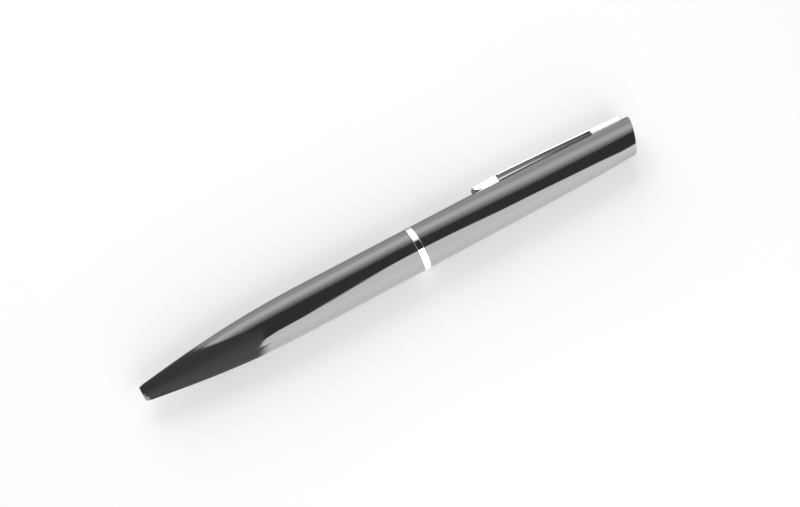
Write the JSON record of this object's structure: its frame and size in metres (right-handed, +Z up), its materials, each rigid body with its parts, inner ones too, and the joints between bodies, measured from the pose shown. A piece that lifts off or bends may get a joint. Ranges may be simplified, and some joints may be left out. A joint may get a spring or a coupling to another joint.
{
  "type": "twist ballpoint pen",
  "caption": "Twist-action ballpoint pen: spindle-shaped black lacquered barrel, bright centre ring, slanted top and sprung clip. Turning the upper half feeds the refill out of the nose.",
  "frame": {"origin": "centre of the pen's bounding box, on the surface that the pen lies on", "axes": "+X along the pen from the nose to the top, +Y from the axis towards the clip, +Z up"},
  "size_m": [0.1378, 0.0128, 0.0116],
  "materials": {
    "black_lacquer": "gloss",
    "chrome_trim": "polished",
    "turned_brass": "satin",
    "spring_steel": "satin",
    "nickel_silver": "satin",
    "white_nylon": "matte",
    "black_plastic": "satin",
    "friction_rubber": "matte",
    "ink": "gloss"
  },
  "bodies": {
    "lower_half": {"lower_barrel": "black_lacquer", "thread_insert": "turned_brass"},
    "mechanism": {"coupling": "turned_brass", "centre_ring": "chrome_trim", "slip_washer": "white_nylon", "friction_ring": "friction_rubber", "guide_tube": "spring_steel", "thrust_washer": "spring_steel", "snap_ring": "spring_steel", "return_spring": "spring_steel"},
    "refill": {"follower": "white_nylon", "cross_pin": "spring_steel", "refill_tube": "nickel_silver", "refill_tip": "turned_brass", "refill_ball": "spring_steel", "ink_column": "ink"},
    "upper_half": {"upper_barrel": "black_lacquer", "mechanism_shell": "turned_brass", "cam_sleeve": "black_plastic", "end_plug": "black_plastic"},
    "clip": {"clip": "chrome_trim"}
  },
  "joints": [
    {"name": "barrel_pull", "type": "slide", "parent": "lower_half", "child": "mechanism", "axis": [1, 0, 0], "range_m": [0, 0.085]},
    {"name": "upper_twist", "type": "hinge", "parent": "mechanism", "child": "upper_half", "pos_m": [0, -0.00063, 0.00578], "axis": [-1, 0, 0], "range_deg": [0, 180]},
    {"name": "refill_feed", "type": "slide", "parent": "mechanism", "child": "refill", "axis": [-1, 0, 0], "range_m": [0, 0.005], "deforming": ["return_spring"]},
    {"name": "clip_flex", "type": "hinge", "parent": "upper_half", "child": "clip", "pos_m": [0.06725, 0.0042, 0.00578], "axis": [0, 0, -1], "range_deg": [0, 2.5], "stiffness_Nm_per_rad": 3}
  ],
  "couplings": [
    {"joint": "upper_twist", "follows": "refill_feed", "rad_per_m": 628.3}
  ]
}
